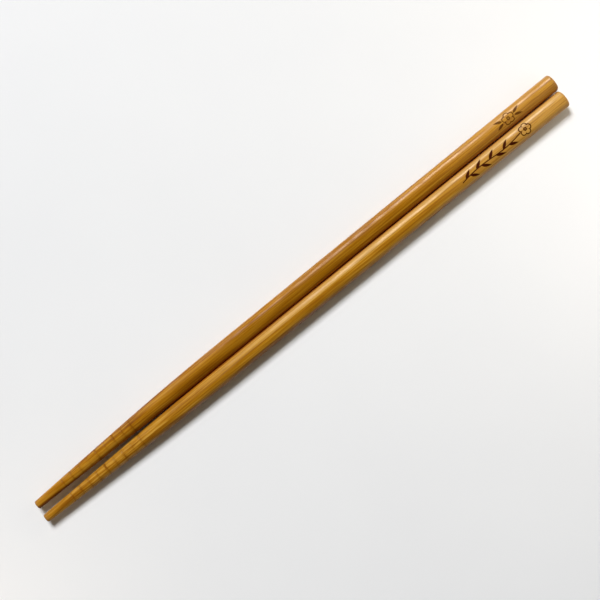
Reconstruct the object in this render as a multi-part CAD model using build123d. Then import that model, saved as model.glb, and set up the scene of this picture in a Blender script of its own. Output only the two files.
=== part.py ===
from build123d import *
from build123d.topology import SkipClean
import math
import os

# A pair of round wooden chopsticks, each turned from one piece, lying side by side on a table.
# Millimetres. +X runs from the tips to the heads, +Z is up, the table is z = 0, and the origin is
# under the middle of the pair.

# Sizes of one stick
stick_length = 235.0
body_diameter = 6.5
tip_diameter = 3.1
tip_bevel = 0.35
shoulder_distance = 64.0  # from the tip end to where the straight taper, carried on, meets the body
shoulder_blend = 20.0  # length of the soft shoulder on each side of that point
head_edge_radius = 0.9

# Sizes of the grip rings turned into the taper
ring_count = 9
ring_pitch = 3.9
first_ring_distance = 12.5  # from the tip end to the middle of the first ring
ring_width = 0.5
ring_depth = 0.2

# Sizes of the lay of the pair
body_clearance = 0.05  # between the two sticks where their straight bodies start
head_gap = 0.35  # between the two sticks at their heads
tip_stagger = 0.5  # how far the right tip lies ahead of the left one

# Worked out from the sizes above
body_radius = body_diameter / 2
tip_radius = tip_diameter / 2
taper_slope = (body_radius - tip_radius) / shoulder_distance
shoulder_start = shoulder_distance - shoulder_blend
body_start = shoulder_distance + shoulder_blend
splay_angle = math.atan((head_gap - body_clearance) / (stick_length - body_start))


def stick_radius(distance):
    """Radius at a distance from the tip end: straight taper, then a parabola tangent to it and to the body."""
    if distance <= shoulder_start:
        return tip_radius + taper_slope * distance
    if distance < body_start:
        return body_radius - taper_slope * (body_start - distance) ** 2 / (4 * shoulder_blend)
    return body_radius


def plain_section():
    """Half of a stick's section before the rings are cut: from the tip end over the top to the head end."""
    taper = Polyline(
        (0, 0),
        (0, tip_radius - tip_bevel),
        (tip_bevel, stick_radius(tip_bevel)),
        (shoulder_start, stick_radius(shoulder_start)),
    )
    # The shoulder's parabola is drawn in two spans that meet at the shoulder distance.
    half_blend = shoulder_blend / 2
    on_taper = (shoulder_distance - half_blend, body_radius - taper_slope * half_blend)
    on_body = (shoulder_distance + half_blend, body_radius)
    lower_shoulder = Bezier(taper @ 1, on_taper, (shoulder_distance, stick_radius(shoulder_distance)))
    upper_shoulder = Bezier(lower_shoulder @ 1, on_body, (body_start, body_radius))
    body = Line(upper_shoulder @ 1, (stick_length - head_edge_radius, body_radius))
    head_edge = TangentArc(body @ 1, (stick_length, body_radius - head_edge_radius), tangent=body % 1)
    closing = Polyline(head_edge @ 1, (stick_length, 0), (0, 0))
    return make_face([*taper.edges(), lower_shoulder, upper_shoulder, body, head_edge, *closing.edges()])


def ring_tool(distance):
    """Section of the pointed tool that cuts one ring: as wide as the ring where it meets the surface."""
    surface = stick_radius(distance)
    return Polygon(
        (distance, surface - ring_depth),
        (distance + ring_width, surface + ring_depth),
        (distance - ring_width, surface + ring_depth),
        align=None,
    )


def chopstick():
    """One turned stick along +X, with the middle of its tip end at the origin. Its shoulder stays two faces."""
    ring_tools = [ring_tool(first_ring_distance + index * ring_pitch) for index in range(ring_count)]
    with SkipClean():
        section = plain_section().cut(*ring_tools)
    return revolve(section, Axis.X, clean=False)


def laid(stick, side, stagger):
    """A stick laid on the table, swung about the start of its body: side +1 is left, -1 is right."""
    tip_x = -(stick_length + tip_stagger) / 2 + stagger
    beside = side * (body_diameter + body_clearance) / 2
    swing = side * math.degrees(splay_angle / 2)
    return Pos(tip_x + body_start, beside, body_radius) * Rot(0, 0, swing) * Pos(-body_start, 0, 0) * stick


pair = {
    "left_chopstick": laid(chopstick(), 1, tip_stagger),
    "right_chopstick": laid(chopstick(), -1, 0),
}

os.makedirs("parts", exist_ok=True)
for node, solid in pair.items():
    export_step(solid, f"parts/{node}.step")
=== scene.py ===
# %% [markdown]
# # A pair of wooden chopsticks
# The real object is two round sticks, each turned on a lathe from one straight-grained piece of wood.
# Each has a straight body, a soft shoulder, a slim taper and nine fine rings that help the tip to grip
# food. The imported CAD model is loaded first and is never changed. It says where each stick lies, in
# metres, with +X from the tips to the heads, +Z up and the table at z = 0. Its box is kept, to compare
# with the finished pair.

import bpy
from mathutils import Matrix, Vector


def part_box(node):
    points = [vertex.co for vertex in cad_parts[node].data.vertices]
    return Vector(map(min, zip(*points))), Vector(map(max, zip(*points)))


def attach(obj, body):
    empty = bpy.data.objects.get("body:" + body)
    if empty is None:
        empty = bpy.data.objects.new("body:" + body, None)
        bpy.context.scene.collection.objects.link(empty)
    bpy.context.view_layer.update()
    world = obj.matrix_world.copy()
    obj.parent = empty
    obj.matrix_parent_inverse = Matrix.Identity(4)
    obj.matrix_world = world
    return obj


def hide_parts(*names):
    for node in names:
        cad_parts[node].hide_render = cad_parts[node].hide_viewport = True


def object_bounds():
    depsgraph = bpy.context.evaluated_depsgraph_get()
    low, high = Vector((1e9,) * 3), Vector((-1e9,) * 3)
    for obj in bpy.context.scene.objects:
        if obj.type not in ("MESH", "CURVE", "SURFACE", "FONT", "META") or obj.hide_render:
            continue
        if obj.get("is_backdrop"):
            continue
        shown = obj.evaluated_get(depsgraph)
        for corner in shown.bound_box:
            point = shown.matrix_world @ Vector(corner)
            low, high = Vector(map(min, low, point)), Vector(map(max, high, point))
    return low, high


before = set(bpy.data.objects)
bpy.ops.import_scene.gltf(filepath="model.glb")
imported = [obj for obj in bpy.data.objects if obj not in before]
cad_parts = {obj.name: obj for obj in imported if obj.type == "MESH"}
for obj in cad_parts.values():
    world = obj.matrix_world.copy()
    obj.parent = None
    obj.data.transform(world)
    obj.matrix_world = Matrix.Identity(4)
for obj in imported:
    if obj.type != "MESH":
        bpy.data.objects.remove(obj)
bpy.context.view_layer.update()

# %% [markdown]
# ## Sizes
# A lathe worker needs few numbers for a stick: its length, the thickness of the body and of the tip,
# where the taper would meet the body, and the spacing of the rings. They are the CAD model's own sizes,
# in millimetres, and the pieces are scaled to metres only when they become meshes.

# %% Sizes of a stick and of the lay of the pair
import math
from types import SimpleNamespace

import bpy
import numpy as np
from mathutils import Vector

MM = 0.001
stick_length = 235.0
body_radius = 3.25
tip_radius = 1.55
tip_edge = 0.35
head_edge = 0.9
shoulder_distance = 64.0
shoulder_blend = 20.0
ring_count = 9
ring_pitch = 3.9
first_ring = 12.5
ring_width = 0.5
ring_depth = 0.2
body_clearance = 0.05
head_gap = 0.35
tip_stagger = 0.5

taper_slope = (body_radius - tip_radius) / shoulder_distance
body_start = shoulder_distance + shoulder_blend
taper_end = shoulder_distance - shoulder_blend
ring_places = first_ring + ring_pitch * np.arange(ring_count)
print(f"taper ends at {taper_end} mm, body starts at {body_start} mm, last ring at {ring_places[-1]:.1f} mm")

# %% [markdown]
# ## The turned outline
# Seen from the side, a stick is a straight taper that runs into the body through a soft shoulder. A
# curve drawn by hand would do, but a formula is exact and keeps the shape of the CAD solid: a straight
# line, then a parabola that is tangent to the line and to the body, then a constant. The edges at both
# ends are quarter circles.


# %% Radius along the stick
def ease(share):
    """Smooth step from 0 to 1: three times the square less two times the cube of the clipped share."""
    share = np.clip(share, 0, 1)
    return share * share * (3 - 2 * share)


def plain_radius(x):
    """Radius at x mm from the tip end before the ends are rounded: taper line, shoulder parabola, body."""
    taper = tip_radius + taper_slope * x
    shoulder = body_radius - taper_slope * (body_start - x) ** 2 / (4 * shoulder_blend)
    return np.where(x <= taper_end, taper, np.where(x < body_start, shoulder, body_radius))


def rounded_radius(x):
    """The plain radius less a quarter circle at each end: the edge minus the root of the edge squared less
    the reach squared."""
    into_tip = np.clip(tip_edge - x, 0, tip_edge)
    into_head = np.clip(x - (stick_length - head_edge), 0, head_edge)
    tip_loss = tip_edge - np.sqrt(tip_edge**2 - into_tip**2)
    head_loss = head_edge - np.sqrt(head_edge**2 - into_head**2)
    return plain_radius(x) - tip_loss - head_loss


for place in (0.0, first_ring, shoulder_distance, body_start, stick_length):
    print(f"radius {place:5.1f} mm from the tip end: {float(rounded_radius(np.array(place))):.3f} mm")

# %% [markdown]
# ## A grid that is fine where the detail is
# The surface is a grid of stations along the stick and angles around it. An even grid that could show a
# ring half a millimetre wide would have millions of faces. Here the spacing is a function: each zone
# asks for its own spacing, the density of points is one over the spacing, and the points cut its
# running total into equal shares. The rings, the rounded ends and the burned ornament get many
# stations, and the plain body gets few. Around the stick the top, which carries the ornament, gets the
# finest angles.


# %% Graded points
def graded(start, end, widest, zones, fade):
    """Points from start to end: equal shares of the summed density, which is one over the spacing."""
    samples = 40001
    line = np.linspace(start, end, samples)
    density = np.full_like(line, 1 / widest)
    for low, high, spacing in zones:
        inside = ease(1 - np.maximum(low - line, line - high) / fade)
        density = np.maximum(density, inside / spacing)
    steps = (density[1:] + density[:-1]) / 2 * np.diff(line)
    total = np.concatenate([[0.0], np.cumsum(steps)])
    count = int(math.ceil(total[-1]))
    return np.interp(np.linspace(0, total[-1], count + 1), total, line)


TURN = 2 * math.pi
UP = TURN / 4
angle_step = 0.078
top_reach, top_step, top_fade = 0.85, 0.031, 0.6
angles = graded(0, TURN, angle_step, [(UP - top_reach, UP + top_reach, top_step)], top_fade)[:-1]
finest_mm = np.diff(angles).min() * body_radius
print(len(angles), f"angles around, finest {finest_mm:.3f} mm apart on the top of the body")

# %% Stations along a stick
body_step, tip_step, head_step, ornament_step, station_fade = 1.6, 0.03, 0.07, 0.1, 0.25
ring_step, ring_margin = 0.05, 0.3
left_ornament_span = (206.5, 221.5)
right_ornament_span = (187.0, 221.5)


def stations(ornament_span):
    """Places along the stick in mm: fine at the rings, at both ends and in the span of the ornament."""
    rings = [(place - ring_margin, place + ring_margin, ring_step) for place in ring_places]
    ends = [(0, tip_edge, tip_step), (stick_length - head_edge, stick_length, head_step)]
    zones = [*rings, *ends, (*ornament_span, ornament_step)]
    return graded(0, stick_length, body_step, zones, station_fade)


for side, span in (("left", left_ornament_span), ("right", right_ornament_span)):
    print(side, "stick has", len(stations(span)), "stations")

# %% [markdown]
# ## The grip rings
# A pointed tool held against the turning stick cuts each ring. On the real sticks no two rings look
# alike: some bite deep and dark, some are faint, and all are broken around the stick, because the wood
# ran a little out of true and its hard fibres push the tool away. A ring could be a dark line in the
# material, but then the outline would show no nick, so it is cut into the surface. Its section is a V
# with a slightly rounded bottom, and two cosines around the stick, of one and of three turns, make it
# deeper in some places than in others.

# %% Rings as a depth in the surface
ring_mean, ring_swing, ring_wander = 0.7, 0.2, 0.03
vee_rounding = 0.05
stain_reach = 1.3
left_rings = (0.5, 0.65, 0.5, 0.45, 0.95, 0.4, 1.0, 0.55, 0.8)
right_rings = (0.9, 0.7, 0.55, 0.65, 1.0, 0.5, 0.85, 0.45, 0.75)
left_seed, right_seed = 11, 23


def ring_cuts(x, angle, strengths, seed):
    """Depth of wood taken away in mm, and how stained each point is: the sum over the rings of a V as wide
    as the ring, times the ring's strength, times a mean plus a cosine of one turn and one of three."""
    draw = np.random.default_rng(seed)
    depth = np.zeros(np.broadcast_shapes(x.shape, angle.shape))
    stain = np.zeros_like(depth)
    for place, strength in zip(ring_places, strengths):
        around = ring_mean + ring_swing * np.cos(angle - draw.uniform(0, TURN))
        around = around + ring_swing * np.cos(3 * angle - draw.uniform(0, TURN))
        wander = ring_wander * np.cos(angle + draw.uniform(0, TURN))
        off_middle = np.abs(x - place - wander)
        soft_off = np.sqrt(off_middle**2 + vee_rounding**2) - vee_rounding
        vee = np.clip(1 - soft_off / (ring_width / 2), 0, 1)
        depth += ring_depth * strength * around * vee
        stain += strength * around * ease(stain_reach - off_middle / ring_width)
    return depth, np.clip(stain, 0, 1)


for side, strengths, seed in (("left", left_rings, left_seed), ("right", right_rings, right_seed)):
    cut = ring_cuts(ring_places[:, None], angles[None, :], strengths, seed)[0]
    print(f"{side} rings: {cut.mean():.3f} mm deep on average, {cut.max():.3f} mm at most")

# %% [markdown]
# ## What sanding leaves
# A turned and hand-sanded stick is never a perfect cylinder: it has long shallow dips that break up the
# highlight. A bump in the material would bend only the light, so the dips are in the surface. They are
# cosines along and around the stick whose waves close after a whole turn, and they only ever take wood
# away, so the stick can't grow into its neighbour or the table.

# %% Sanding dips
dip_depth = 0.015
dip_waves = 10
shortest_dip, longest_dip = 9, 46
most_dip_turns = 4


def sanding_dips(x, angle, seed):
    """Depth in mm: the mean of ten waves, each half of one plus a cosine of the place over the wavelength
    plus a whole number of turns around."""
    draw = np.random.default_rng(seed)
    depth = np.zeros(np.broadcast_shapes(x.shape, angle.shape))
    for _ in range(dip_waves):
        wavelength = draw.uniform(shortest_dip, longest_dip)
        turns = draw.integers(0, most_dip_turns + 1)
        phase = draw.uniform(0, TURN)
        depth += (1 + np.cos(TURN * x / wavelength + turns * angle + phase)) / 2
    return dip_depth * depth / dip_waves


dips = sanding_dips(stations(left_ornament_span)[:, None], angles[None, :], left_seed + 1)
print(f"left stick: dips from {dips.min():.4f} to {dips.max():.4f} mm deep")

# %% [markdown]
# ## Burned ornament near the heads
# A hot point scorches thin lines and small shapes into the top of each stick near its head. They could
# be a picture laid on the wood, but a picture blurs when the camera comes close. So the ornament is
# drawn as distances: for each point of the unrolled surface (a along the stick, c around it, both in
# mm) a function gives how far the nearest line or leaf is, and the ink is full inside it. The ink later
# darkens the wood, and sinks it too.

# %% Shapes of the ornament
leaf_fullness = 0.75
petal_count = 5
petal_out, petal_radius, heart_radius = 0.58, 0.42, 0.2
ink_edge = 0.12


def leaf_gap(a, c, root, heading_deg, length, width):
    """Distance outside a solid leaf, negative inside: its half width is a sine of the share of length."""
    heading = math.radians(heading_deg)
    along = (a - root[0]) * math.cos(heading) + (c - root[1]) * math.sin(heading)
    across = (c - root[1]) * math.cos(heading) - (a - root[0]) * math.sin(heading)
    share = np.clip(along / length, 0, 1)
    beyond = np.maximum(np.maximum(-along, along - length), 0)
    side = np.abs(across) - width / 2 * np.sin(math.pi * share**leaf_fullness)
    return np.where(beyond > 0, np.hypot(np.maximum(side, 0), beyond), side)


def leaves_gap(a, c, leaves):
    """Distance outside the nearest of several leaves: the least of their distances."""
    return np.min([leaf_gap(a, c, *leaf) for leaf in leaves], axis=0)


def blossom_gap(a, c, middle, size, turn_deg):
    """Distance to the outline of five overlapping round petals and to the small ring at their heart."""
    turns = np.radians(turn_deg + 360 / petal_count * np.arange(petal_count))[:, None, None]
    da, dc = a - middle[0], c - middle[1]
    to_petals = np.hypot(da - petal_out * size * np.cos(turns), dc - petal_out * size * np.sin(turns))
    outline = np.abs((to_petals - petal_radius * size).min(axis=0))
    heart = np.abs(np.hypot(da, dc) - heart_radius * size)
    return np.minimum(outline, heart)


def twig_gap(a, c, start, end, sway):
    """Distance across a twig: its height above a straight line is sway times a sine over its length."""
    share = (a - start[0]) / (end[0] - start[0])
    line = start[1] + (end[1] - start[1]) * share + sway * np.sin(TURN * share)
    beyond = np.maximum(np.maximum(start[0] - a, a - end[0]), 0)
    return np.hypot(c - line, beyond)


def ink(gap):
    """One inside the shape, falling smoothly to zero across its edge: ease of a half less gap over edge."""
    return ease(0.5 - gap / ink_edge)


print("ink inside, on the edge and outside a line:", ink(np.array([-ink_edge, 0.0, ink_edge])))

# %% [markdown]
# ## The two ornaments
# Plain garden shapes fill the place of the ornament: a blossom between two pairs of leaves on the left
# stick, and a leafy twig that ends in a blossom on the right one. Each leaf is one row of a table: its
# root, the way it points in degrees, its length and its width. The left ornament is scorched more
# lightly, so its ink is multiplied by left_scorch.

# %% A blossom with leaves, and a leafy twig
line_half_width = 0.19
blossom_size = 2.3
left_scorch = 0.8
left_leaves = (
    ((216.5, 0.45), 24, 3.4, 1.0),
    ((216.5, -0.25), -20, 3.2, 0.95),
    ((211.5, 0.45), 156, 3.4, 1.0),
    ((211.5, -0.25), 200, 3.2, 0.95),
)
right_leaves = (
    ((189.6, -0.55), 36, 3.9, 1.1),
    ((191.6, -0.3), -34, 3.8, 1.1),
    ((194.6, -0.1), 34, 4.0, 1.15),
    ((196.8, -0.15), -34, 3.9, 1.1),
    ((200.2, -0.35), 38, 4.2, 1.15),
    ((203.0, -0.6), -24, 4.1, 1.1),
    ((206.2, -0.6), 38, 4.0, 1.1),
    ((208.8, -0.45), -24, 3.8, 1.1),
)


def left_ornament(a, c):
    """Ink of a blossom between two pairs of leaves: the nearest of the shapes counts."""
    blossom = blossom_gap(a, c, (214.0, 0.1), blossom_size, 18) - line_half_width
    return left_scorch * ink(np.minimum(blossom, leaves_gap(a, c, left_leaves)))


def right_ornament(a, c):
    """Ink of a long twig with leaves on both sides and a blossom at its end: the nearest shape counts."""
    twig = twig_gap(a, c, (188.0, -0.8), (214.4, 0.2), 0.5) - line_half_width
    blossom = blossom_gap(a, c, (216.7, 0.25), blossom_size, 0) - line_half_width
    return ink(np.minimum(np.minimum(twig, blossom), leaves_gap(a, c, right_leaves)))


print(len(left_leaves), "leaves on the left stick,", len(right_leaves), "on the right one")

# %% [markdown]
# ## A stick as one grid
# All of this meets in one function of two parameters, the station along the stick and the angle around
# it. The radius is the turned outline less the rings, the dips and the sunk ornament. Each end is
# closed by a few rings that shrink to a single point in the middle, so the skin has no hole and no
# doubled points.

# %% Surface of one stick
burn_depth = 0.05
dip_end_fade = 2
end_shares = np.array([0.25, 0.5, 0.75, 0.92])


def end_rings(rim, shares):
    """Copies of the rim of an end face, drawn in to the axis: x stays, y and z are times each share."""
    return rim * np.stack([np.ones_like(shares), shares, shares], axis=-1)[:, None, :]


def stick_surface(span, ornament, strengths, seed):
    """Points (stations, angles, 3) in mm, with ink and stain, the tip end at the origin and +X to the head:
    x is the station, y and z are the radius times the cosine and sine of the angle."""
    x = stations(span)[:, None]
    angle = angles[None, :]
    cut, stain = ring_cuts(x, angle, strengths, seed)
    burn = ornament(x + 0 * angle, (UP - angle) * body_radius + 0 * x)
    dips = sanding_dips(x, angle, seed + 1)
    dips = dips * ease((stick_length - x) / dip_end_fade) * ease(x / dip_end_fade)
    radius = rounded_radius(x) - cut - dips - burn_depth * burn
    skin = np.stack([x + 0 * radius, radius * np.cos(angle), radius * np.sin(angle)], axis=-1)
    tip_face, head_face = end_rings(skin[0], end_shares), end_rings(skin[-1], end_shares[::-1])
    points = np.concatenate([tip_face, skin, head_face])
    bare = np.zeros((len(end_shares), len(angles)))
    return points, np.concatenate([bare, burn, bare]), np.concatenate([bare, stain, bare])


left_surface = stick_surface(left_ornament_span, left_ornament, left_rings, left_seed)
right_surface = stick_surface(right_ornament_span, right_ornament, right_rings, right_seed)
print("grid of the left stick:", left_surface[0].shape, "of the right one:", right_surface[0].shape)

# %% [markdown]
# ## Where the sticks lie
# The two sticks lie side by side on the table and open slightly towards the heads, so each is turned by
# half of that splay about the start of its body. Wood seldom dries quite straight: the left stick's
# taper bends 0.8 mm towards its neighbour. The mesh itself is moved and not the object, which stays at
# the origin.


# %% The lay of a stick
def lay(points, side, stagger, tip_lean):
    """Points turned by half of the splay about the body's start and set beside the other stick, in mm.
    The taper leans to one side by the square of the share of the way from the body to the tip end."""
    to_tip = np.clip(1 - points[..., :1] / body_start, 0, 1)
    points = points + tip_lean * to_tip**2 * np.array([0, 1, 0])
    swing = side * math.atan((head_gap - body_clearance) / (stick_length - body_start)) / 2
    cosine, sine = math.cos(swing), math.sin(swing)
    turn = np.array([[cosine, -sine, 0], [sine, cosine, 0], [0, 0, 1]])
    pivot = np.array([body_start, 0, 0])
    place = np.array([
        body_start + stagger - (stick_length + tip_stagger) / 2,
        side * (2 * body_radius + body_clearance) / 2,
        body_radius,
    ])
    return (points - pivot) @ turn.T + place


left_lay = {"side": 1, "stagger": tip_stagger, "tip_lean": -0.8}
right_lay = {"side": -1, "stagger": 0.0, "tip_lean": 0.0}
for name, lie in (("left", left_lay), ("right", right_lay)):
    print(name, "tip end lies at", lay(np.zeros((1, 3)), **lie).round(3)[0], "mm")

# %% [markdown]
# ## From grid to mesh
# Blender wants a list of points and a list of faces. The faces of a grid follow from its numbering:
# each joins a point to the next one along and the next one around, and the last angle joins the first.
# foreach_set copies whole arrays into the mesh at once. The ink and the stain go along as attributes
# for the material to read.


# %% Mesh of one stick
def grid_faces(rows, columns):
    """Corners of the quads of a closed tube, and of the triangles that close it to a point at each end."""
    number = np.arange(rows * columns).reshape(rows, columns)
    after = np.roll(number, -1, axis=1)
    quads = np.stack([number[:-1], after[:-1], after[1:], number[1:]], axis=-1).reshape(-1, 4)
    tip_pole, head_pole = rows * columns, rows * columns + 1
    tip_fan = np.stack([after[0], number[0], np.full(columns, tip_pole)], axis=-1)
    head_fan = np.stack([number[-1], after[-1], np.full(columns, head_pole)], axis=-1)
    return quads, np.concatenate([tip_fan, head_fan])


def stick_mesh(name, surface, lie):
    """A new object whose mesh is the laid surface, with smooth faces and attributes burn and stain."""
    points, burn, stain = surface
    rows, columns = burn.shape
    poles = np.array([[0, 0, 0], [stick_length, 0, 0]], float)
    laid = lay(np.concatenate([points.reshape(-1, 3), poles]), **lie) * MM
    quads, fans = grid_faces(rows, columns)
    corners = np.concatenate([quads.ravel(), fans.ravel()]).astype(np.int32)
    sizes = np.concatenate([np.full(len(quads), 4), np.full(len(fans), 3)])
    starts = np.concatenate([[0], np.cumsum(sizes)[:-1]]).astype(np.int32)
    mesh = bpy.data.meshes.new(name)
    mesh.vertices.add(len(laid))
    mesh.loops.add(len(corners))
    mesh.polygons.add(len(sizes))
    mesh.vertices.foreach_set("co", laid.astype(np.float32).ravel())
    mesh.loops.foreach_set("vertex_index", corners)
    mesh.polygons.foreach_set("loop_start", starts)
    mesh.polygons.foreach_set("use_smooth", np.ones(len(sizes), bool))
    for label, values in (("burn", burn), ("stain", stain)):
        attribute = mesh.attributes.new(label, "FLOAT", "POINT")
        attribute.data.foreach_set("value", np.concatenate([values.ravel(), [0, 0]]).astype(np.float32))
    mesh.update(calc_edges=True)
    mesh.validate()
    piece = bpy.data.objects.new(name, mesh)
    bpy.context.scene.collection.objects.link(piece)
    print(name, rows, "stations", columns, "angles", 2 * len(quads) + len(fans), "triangles")
    return piece


left_stick = stick_mesh("left_stick", left_surface, left_lay)
right_stick = stick_mesh("right_stick", right_surface, right_lay)

# %% Compare each stick with its solid
for piece, node in ((left_stick, "left_chopstick"), (right_stick, "right_chopstick")):
    low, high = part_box(node)
    co = np.empty(len(piece.data.vertices) * 3, np.float32)
    piece.data.vertices.foreach_get("co", co)
    co = co.reshape(-1, 3)
    low_off, high_off = np.abs(co.min(0) - low).round(6), np.abs(co.max(0) - high).round(6)
    print(node, "differs from its solid's box by", low_off, high_off, "m")

# %% [markdown]
# ## The wood
# The wood is straight-grained and golden brown: long light and dark layers, thin dark streaks, finer
# fibres, and short dark pores, under a satin finish. A flat picture wrapped round the stick would show
# a seam and would not match at the ends. A solid texture, which is a function of the point in space, is
# cut by the surface just as the lathe cuts real wood: where the taper crosses the layers they run out
# in long flames, and the sawn ends show the same fibres as dots. Each noise is stretched along X by its
# own length and width. A few helpers keep the building of the node tree short: the first adds any node,
# and the others give back the output of what they add.


# %% Small helpers for nodes
def add(tree, kind, settings=None, **inputs):
    """A node of this kind with its settings made. An input is linked where its value is a socket and set
    where it is not, and is named by its label, with _ for a blank, or by i and its number."""
    made = tree.nodes.new(kind)
    for key, value in (settings or {}).items():
        setattr(made, key, value)
    for key, value in inputs.items():
        numbered = key[0] == "i" and key[1:].isdigit()
        socket = made.inputs[int(key[1:]) if numbered else key.replace("_", " ")]
        if isinstance(value, bpy.types.NodeSocket):
            tree.links.new(value, socket)
        else:
            socket.default_value = value
    return made


def mixed(tree, kind, share, first, second):
    """Colour first changed towards second by a share, with the blend type named."""
    blend = {"data_type": "RGBA", "blend_type": kind}
    return add(tree, "ShaderNodeMix", blend, i0=share, i6=first, i7=second).outputs[2]


def ranged(tree, value, low, high, to_low=0.0, to_high=1.0):
    """Value carried smoothly from the range low to high into the range to_low to to_high."""
    smooth = {"interpolation_type": "SMOOTHSTEP"}
    made = add(tree, "ShaderNodeMapRange", smooth, i0=value, i1=low, i2=high, i3=to_low, i4=to_high)
    return made.outputs[0]


def maths(tree, operation, first, second=0.0):
    """One difference, maximum or the like of two values."""
    return add(tree, "ShaderNodeMath", {"operation": operation}, i0=first, i1=second).outputs[0]


def plus(tree, first, second):
    """The sum of two values."""
    return maths(tree, "ADD", first, second)


def times(tree, first, second):
    """The product of two values."""
    return maths(tree, "MULTIPLY", first, second)


def grain(tree, coords, length, width, detail, roughness=0.55):
    """Noise stretched along the stick: its cells are about length mm long and width mm wide and deep."""
    size = (1 / (length * MM), 1 / (width * MM), 1 / (width * MM))
    stretched = add(tree, "ShaderNodeVectorMath", {"operation": "MULTIPLY"}, i0=coords, i1=size)
    noise = {"Vector": stretched.outputs[0], "Scale": 1.0, "Detail": detail, "Roughness": roughness}
    return add(tree, "ShaderNodeTexNoise", None, **noise).outputs[0]


helpers = (add, mixed, ranged, maths, plus, times, grain)
print("helpers:", ", ".join(helper.__name__ for helper in helpers))

# %% [markdown]
# ## A block of wood for each stick
# Every stick is cut from its own place in the wood, so the texture is shifted and turned a little
# before it is read. The turn is what makes the layers run out along the stick. Places along and across
# the stick are read before that shift, because worn ends and tinted sides belong to the stick and not
# to the tree it came from.

# %% Grain of one block
taper_fade = (-0.035, -0.075)
pore_range = (0.66, 0.76, 0.0, 0.45)


def wood_block(name, shift, slope):
    """A new material and the values of its finish: places in metres, and noises from layers to pores. The
    texture's point is the surface's point turned by the slope in radians, plus the shift in metres."""
    material = bpy.data.materials.new(name)
    material.use_nodes = True
    tree = material.node_tree
    place = add(tree, "ShaderNodeTexCoord").outputs["Object"]
    moved = add(tree, "ShaderNodeMapping", None, Vector=place, Location=shift, Rotation=slope)
    coords = moved.outputs[0]
    axes = add(tree, "ShaderNodeSeparateXYZ", None, Vector=place)
    block = SimpleNamespace(material=material, tree=tree, shader=tree.nodes["Principled BSDF"])
    block.along, block.across = axes.outputs["X"], axes.outputs["Y"]
    block.layers = grain(tree, coords, 110, 2.2, 2)
    block.flames = grain(tree, coords, 20, 0.95, 2)
    block.streaks = grain(tree, coords, 42, 0.55, 3, 0.6)
    block.fibres = grain(tree, coords, 14, 0.17, 2, 0.6)
    block.clouds = grain(tree, coords, 9, 1.6, 2)
    block.pores = ranged(tree, grain(tree, coords, 7, 0.22, 1), *pore_range)
    block.near_tip = ranged(tree, block.along, *taper_fade)
    return block


left_block = wood_block("left_wood", (0.4349, 0.0974, 0.0898), (0.0, 0.004, 0.005))
right_block = wood_block("right_wood", (0.8442, 0.0392, 0.0493), (0.0, -0.005, 0.004))
for block in (left_block, right_block):
    print(block.material.name, "starts with", len(block.tree.nodes), "nodes")

# %% [markdown]
# ## Colour of the bare wood
# The layers, streaks and fibres are added up to one tone, and a colour ramp turns the tone into dark
# brown, golden brown or pale gold. The flames are part of the sum mostly in the taper, where the lathe
# cuts through the layers. The left stick's wood is the darker one.

# %% Tone of the grain
left_tones = ((0.195, 0.055, 0.0010), (0.360, 0.142, 0.0030), (0.510, 0.248, 0.0180))
right_tones = ((0.225, 0.072, 0.0015), (0.405, 0.176, 0.0070), (0.580, 0.310, 0.0400))
layer_weight, streak_weight, fibre_weight = 0.7, 0.85, 0.45
flame_weights = (0.25, 0.8)
tone_range = (0.67, 1.33)


def grain_colour(block, tones):
    """A ramp of three tones, read at the weighted sum of layers, streaks, fibres and flames less a half."""
    tree = block.tree
    flame_weight = ranged(tree, block.near_tip, 0.0, 1.0, *flame_weights)
    tone = plus(tree, times(tree, block.layers, layer_weight), times(tree, block.streaks, streak_weight))
    tone = plus(tree, tone, times(tree, block.fibres, fibre_weight))
    tone = plus(tree, tone, times(tree, maths(tree, "SUBTRACT", block.flames, 0.5), flame_weight))
    ramp = add(tree, "ShaderNodeValToRGB", None, Fac=ranged(tree, tone, *tone_range))
    dark, middle, pale = tones
    ramp.color_ramp.elements[0].color = (*dark, 1)
    ramp.color_ramp.elements[1].color = (*pale, 1)
    ramp.color_ramp.elements.new(0.5).color = (*middle, 1)
    return ramp.outputs[0]


left_colour = grain_colour(left_block, left_tones)
right_colour = grain_colour(right_block, right_tones)
print("tones from dark to pale, left:", left_tones, "right:", right_tones)

# %% [markdown]
# ## Broad marks of each stick, and painted shade on the left one
# Some marks are too large to leave to chance. A darker band along the top of the left stick in the
# middle of its length is painted shade. A paler layer of the wood lies along the inner side of the
# right one, with a thin dark seam at its edge, and both sticks are lighter towards the heads. Each is a
# soft range of the place across or along the stick; the streaks make the paler layer's edge uneven,
# and the fibres break up the lighter heads.

# %% Painted shade, paler layer and lighter head
# Painted shade: a darker band along the top of the left stick in the middle of its length.
painted_shade_tint = (0.77, 0.74, 0.50, 1)
painted_shade_rise, painted_shade_fall, painted_shade_middle = (0.0016, 0.0030), (0.0052, 0.0042), (0.075, 0.025)
pale_tint = (0.60, 0.36, 0.105, 1)
streak_brown = (0.120, 0.036, 0.0012, 1)
pale_slope, pale_ripple = 0.010, 0.0007
pale_edge, pale_fade = (-0.00250, -0.00225), (-0.075, 0.040)
seam_offset, seam_range, seam_strength = 0.00247, (0.00016, 0.00005), 0.55
head_fade, head_fibres = (0.045, 0.112), (0.3, 0.6, 0.4, 1.0)


def painted_shade_layer(block, colour, strength):
    """Colour times a painted-shade tint: the share is a rise times a fall across, times a fade along the
    stick.
    """
    tree = block.tree
    # Mask of the painted shade: a band across the top of the stick, strongest in the middle of its length.
    share = times(tree, ranged(tree, block.across, *painted_shade_rise), ranged(tree, block.across, *painted_shade_fall))
    share = times(tree, share, ranged(tree, maths(tree, "ABSOLUTE", block.along), *painted_shade_middle))
    return mixed(tree, "MULTIPLY", times(tree, share, strength), colour, painted_shade_tint)


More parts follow.
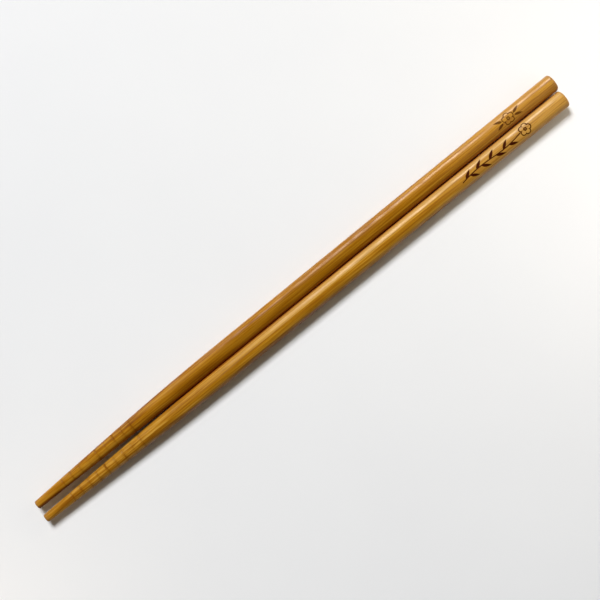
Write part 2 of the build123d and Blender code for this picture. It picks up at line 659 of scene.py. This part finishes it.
def paler_layer(block, colour, strength):
    """Colour mixed with a pale one beyond an edge, and with brown along that edge: the edge is the place
    across the stick less a slope times the place along it, plus a ripple times the streaks."""
    tree = block.tree
    edge = maths(tree, "SUBTRACT", block.across, times(tree, block.along, pale_slope))
    edge = plus(tree, edge, times(tree, block.streaks, pale_ripple))
    on_body = ranged(tree, block.along, *pale_fade)
    pale = times(tree, times(tree, ranged(tree, edge, *pale_edge), on_body), strength)
    colour = mixed(tree, "MIX", pale, colour, pale_tint)
    off_seam = maths(tree, "ABSOLUTE", plus(tree, edge, seam_offset))
    seam = times(tree, times(tree, ranged(tree, off_seam, *seam_range), on_body), strength)
    return mixed(tree, "MIX", times(tree, seam, seam_strength), colour, streak_brown)


def lighter_head(block, colour, strength):
    """Colour mixed with a pale one: the share is a range along the stick times a range of the fibres."""
    tree = block.tree
    fibres = ranged(tree, block.fibres, *head_fibres)
    near_head = times(tree, ranged(tree, block.along, *head_fade), fibres)
    return mixed(tree, "MIX", times(tree, near_head, strength), colour, pale_tint)


# The left stick gets painted shade along its top, and the right one its paler layer of wood.
left_colour = lighter_head(left_block, painted_shade_layer(left_block, left_colour, 1.0), 0.25)
right_colour = lighter_head(right_block, paler_layer(right_block, right_colour, 0.6), 0.45)
for block in (left_block, right_block):
    print(block.material.name, "has its broad marks,", len(block.tree.nodes), "nodes")

# %% [markdown]
# ## Streaks, pores, wear and painted shade at the joint
# Over the broad marks lie thin dark streaks and short pores. Use has greyed the taper a little and
# browned both ends. Where the sticks touch, shade is painted into the colour: a dark red-brown band
# along the inner side of each stick stands for the shade between them and the red-brown light that
# each throws on the other. The rings hold a brown stain and the ornament is scorched a very dark
# brown, as the attributes say.

# %% Fine marks, painted joint shade, stain and scorch
streak_range = (0.40, 0.28, 0.0, 0.3)
taper_tint = (0.92, 0.905, 1.0, 1)
# Painted shade: a dark red-brown band within a fraction of a millimetre of the joint between the sticks.
painted_joint_shade, painted_joint_shade_range = (0.70, 0.36, 0.12, 1), (0.0007, 0.0002)
worn_brown, worn_range = (0.30, 0.16, 0.050, 1), (0.1155, 0.1173, 0.0, 0.4)
ring_brown, stain_strength = (0.185, 0.055, 0.0005, 1), 0.85
burn_brown = (0.044, 0.0065, 0.0006, 1)


def fine_marks(block, colour):
    """Colour mixed with brown by streaks and pores, tinted in the taper, given painted shade at the joint
    and worn at the ends.
    """
    tree = block.tree
    colour = mixed(tree, "MIX", ranged(tree, block.streaks, *streak_range), colour, streak_brown)
    colour = mixed(tree, "MIX", block.pores, colour, streak_brown)
    colour = mixed(tree, "MULTIPLY", block.near_tip, colour, taper_tint)
    # Painted shade where the sticks touch: the colour is multiplied darker and redder near the joint.
    painted_joint_shade_share = ranged(tree, maths(tree, "ABSOLUTE", block.across), *painted_joint_shade_range)
    colour = mixed(tree, "MULTIPLY", painted_joint_shade_share, colour, painted_joint_shade)
    at_ends = ranged(tree, maths(tree, "ABSOLUTE", block.along), *worn_range)
    return mixed(tree, "MIX", at_ends, colour, worn_brown)


def stained_and_scorched(block, colour):
    """Colour mixed with ring brown by the stain and burned brown by the ink, both read from the mesh."""
    tree = block.tree
    block.stain = add(tree, "ShaderNodeAttribute", {"attribute_name": "stain"}).outputs["Fac"]
    block.burn = add(tree, "ShaderNodeAttribute", {"attribute_name": "burn"}).outputs["Fac"]
    colour = mixed(tree, "MIX", times(tree, block.stain, stain_strength), colour, ring_brown)
    return mixed(tree, "MIX", block.burn, colour, burn_brown)


for block, colour in ((left_block, left_colour), (right_block, right_colour)):
    colour = stained_and_scorched(block, fine_marks(block, colour))
    block.tree.links.new(colour, block.shader.inputs["Base Color"])
    print(block.material.name, "has its colour,", len(block.tree.nodes), "nodes")

# %% [markdown]
# ## Satin finish
# Oil and handling leave a thin satin coat that is patchy and missing where the wood is scorched or cut.
# In the shader the wood itself is rough and hardly shines, and the coat over it carries the highlight.
# Clouds of noise vary both. The fibres, streaks and pores are too fine for the mesh, so a bump of a few
# hundredths of a millimetre stands for them. Values that are the same all over are set on the shader's
# own sockets.

# %% Roughness, coat and bump
rough_range, dull_roughness = (0.35, 0.65, 0.46, 0.60), 0.35
coat_range, coat_roughness = (0.36, 0.62, 0.14, 0.6), 0.33
streak_height, pore_depth = 0.8, 0.9
bump_size = {"Strength": 0.35, "Distance": 0.00003}
wood_shine = 0.06


def satin(block):
    """Roughness is a range of the clouds plus a share of the dull marks, the coat is a range of the clouds
    times one less the dull marks, and the bump's height is fibres plus streaks less pores."""
    tree, shader = block.tree, block.shader
    dull = maths(tree, "MAXIMUM", block.burn, block.stain)
    rough = plus(tree, ranged(tree, block.clouds, *rough_range), times(tree, dull, dull_roughness))
    tree.links.new(rough, shader.inputs["Roughness"])
    coat = times(tree, ranged(tree, block.clouds, *coat_range), maths(tree, "SUBTRACT", 1.0, dull))
    tree.links.new(coat, shader.inputs["Coat Weight"])
    shader.inputs["Coat Roughness"].default_value = coat_roughness
    height = plus(tree, block.fibres, times(tree, block.streaks, streak_height))
    height = maths(tree, "SUBTRACT", height, times(tree, block.pores, pore_depth))
    bump = add(tree, "ShaderNodeBump", None, Height=height, **bump_size)
    tree.links.new(bump.outputs[0], shader.inputs["Normal"])
    shader.inputs["Specular IOR Level"].default_value = wood_shine


for piece, block in ((left_stick, left_block), (right_stick, right_block)):
    satin(block)
    piece.data.materials.append(block.material)
    print(piece.name, "wears", block.material.name, "of", len(block.tree.nodes), "nodes")

# %% [markdown]
# ## The pieces take the place of the solids
# Each new stick rides on the one body of the frame and stands for its CAD solid, which stays for
# collisions but is no longer shown.

# %% Ride and replace
for piece, node in ((left_stick, "left_chopstick"), (right_stick, "right_chopstick")):
    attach(piece, "root")
    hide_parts(node)
    print(piece.name, "stands for", node)

# %% [markdown]
# ## The table
# The pair lies on a plain white top. A flat colour would look like paper cut out of the picture, so
# faint wide clouds change its tone and a very fine noise its roughness. It is marked as stage: it isn't
# part of the object.

# %% Table top
reach = 1.0
table_corners = [(-reach, -reach, 0), (reach, -reach, 0), (reach, reach, 0), (-reach, reach, 0)]
table_mesh = bpy.data.meshes.new("table_top")
table_mesh.from_pydata(table_corners, [], [(0, 1, 2, 3)])
table_top = bpy.data.objects.new("table_top", table_mesh)
bpy.context.scene.collection.objects.link(table_top)
table_top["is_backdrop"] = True
print("table top", 2 * reach, "m wide")

# %% White of the table
greyer_white, warmer_white = (0.80, 0.80, 0.80, 1), (0.84, 0.84, 0.835, 1)
table_rough_range, table_shine = (0.3, 0.7, 0.55, 0.7), 0.2
table_white = bpy.data.materials.new("table_white")
table_white.use_nodes = True
table_tree = table_white.node_tree
table_shader = table_tree.nodes["Principled BSDF"]
table_place = add(table_tree, "ShaderNodeTexCoord").outputs["Object"]
clouds = add(table_tree, "ShaderNodeTexNoise", None, Vector=table_place, Scale=18.0, Detail=3.0)
grit = add(table_tree, "ShaderNodeTexNoise", None, Vector=table_place, Scale=900.0, Detail=2.0)
table_colour = mixed(table_tree, "MIX", clouds.outputs[0], greyer_white, warmer_white)
table_rough = ranged(table_tree, grit.outputs[0], *table_rough_range)
table_tree.links.new(table_colour, table_shader.inputs["Base Color"])
table_tree.links.new(table_rough, table_shader.inputs["Roughness"])
table_shader.inputs["Specular IOR Level"].default_value = table_shine
table_mesh.materials.append(table_white)
print(table_white.name, "has", len(table_tree.nodes), "nodes")

# %% [markdown]
# ## Light
# In a plain daylit room most light falls from one side, and the walls send a little of it back. Here a
# wide soft glow from the ceiling at the top of the picture shades the sticks and throws their shadow,
# and a lower window is seen only in the satin coat, where it makes the long highlight on each stick. In
# a real room one window does both. Two lamps let the place of the shadow and the place of the highlight
# be set apart. Four weak warm glows stand for light that the walls and the wood throw back: they
# lighten the shadow, most of all at the heads and the tips.


# %% Ceiling, window and glows
def soft_light(name, place, size, power, tint, mirrored=False, shading=True):
    """A rectangular area light that faces the middle of the pair, with its place and its sides in metres.
    Mirrored says whether the satin coat reflects it, shading whether it lights wood and table."""
    data = bpy.data.lights.new(name, "AREA")
    data.shape = "RECTANGLE"
    data.size, data.size_y = size
    data.energy = power
    data.color = tint
    lamp = bpy.data.objects.new(name, data)
    lamp.location = place
    lamp.rotation_euler = (-Vector(place)).to_track_quat("-Z", "X").to_euler()
    lamp.visible_glossy = mirrored
    lamp.visible_diffuse = shading
    bpy.context.scene.collection.objects.link(lamp)
    print(name, "at", tuple(round(v, 3) for v in lamp.location), "gives", power, "W")


soft_light("ceiling_glow", (0.26, 1.40, 1.85), (0.7, 0.7), 65.5, (0.975, 0.993, 1.02))
soft_light(
    "window", (0.24, 0.84, 0.47), (0.34, 0.5), 15.0, (1.0, 0.87, 0.72), mirrored=True, shading=False
)
soft_light("corner_glow", (0.42, 0.10, 0.30), (0.2, 0.2), 0.205, (1.0, 0.93, 0.80))
soft_light("side_glow", (0.30, -0.02, 0.13), (0.12, 0.12), 0.135, (1.0, 0.83, 0.56))
soft_light("head_glow", (0.165, -0.065, 0.055), (0.06, 0.06), 0.023, (1.0, 0.91, 0.82))
soft_light("tip_glow", (-0.185, -0.022, 0.055), (0.06, 0.06), 0.013, (1.0, 0.82, 0.62))

# %% [markdown]
# ## The room
# Beyond the edge of the table a low camera sees the walls, which should look light. But walls that
# shone as brightly as they look would fill the shadow with grey. The world's background can tell the
# two apart: its strength is one value for what the camera sees directly and a much smaller one for the
# light that it gives.

# %% Walls of the room
wall_shine, wall_look = 0.025, 0.6
room = bpy.data.worlds.new("room_light")
room.use_nodes = True
room_tree = room.node_tree
walls = room_tree.nodes["Background"]
walls.inputs["Color"].default_value = (1.0, 0.90, 0.78, 1)
seen = add(room_tree, "ShaderNodeLightPath").outputs["Is Camera Ray"]
room_tree.links.new(ranged(room_tree, seen, 0.0, 1.0, wall_shine, wall_look), walls.inputs["Strength"])
bpy.context.scene.world = room
bpy.context.scene.view_settings.view_transform = "Standard"
print("walls shine with", wall_shine, "and look like", wall_look)

# %% [markdown]
# ## Camera
# The picture is taken from straight above the middle of the pair, 0.46 m over the table, close enough
# that both ends show a little perspective. The camera is turned so that the heads point to the upper
# right corner. Its lens follows from a focal length in pixels: the sensor's width times that length
# over the picture's width.

# %% Camera above the pair
camera_place = (0.00015, 0.0001, 0.46)
camera_turn = -39.13
picture_width_px = 600
focal_px = 1297.0
camera_data = bpy.data.cameras.new("camera")
camera_data.sensor_width = 36.0
camera_data.lens = camera_data.sensor_width * focal_px / picture_width_px
camera_data.clip_start = 0.01
camera = bpy.data.objects.new("camera", camera_data)
camera.location = camera_place
camera.rotation_euler = (0, 0, math.radians(camera_turn))
bpy.context.scene.collection.objects.link(camera)
bpy.context.scene.camera = camera
print("lens", round(camera_data.lens, 2), "mm on a 36 mm sensor")

# %% [markdown]
# ## Size of the finished pair
# The finished pair has to keep the CAD model's size, so the box of everything that is shown is printed.

# %% Size of the finished pair
bpy.context.view_layer.update()
low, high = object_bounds()
print("visual box:", low, high)
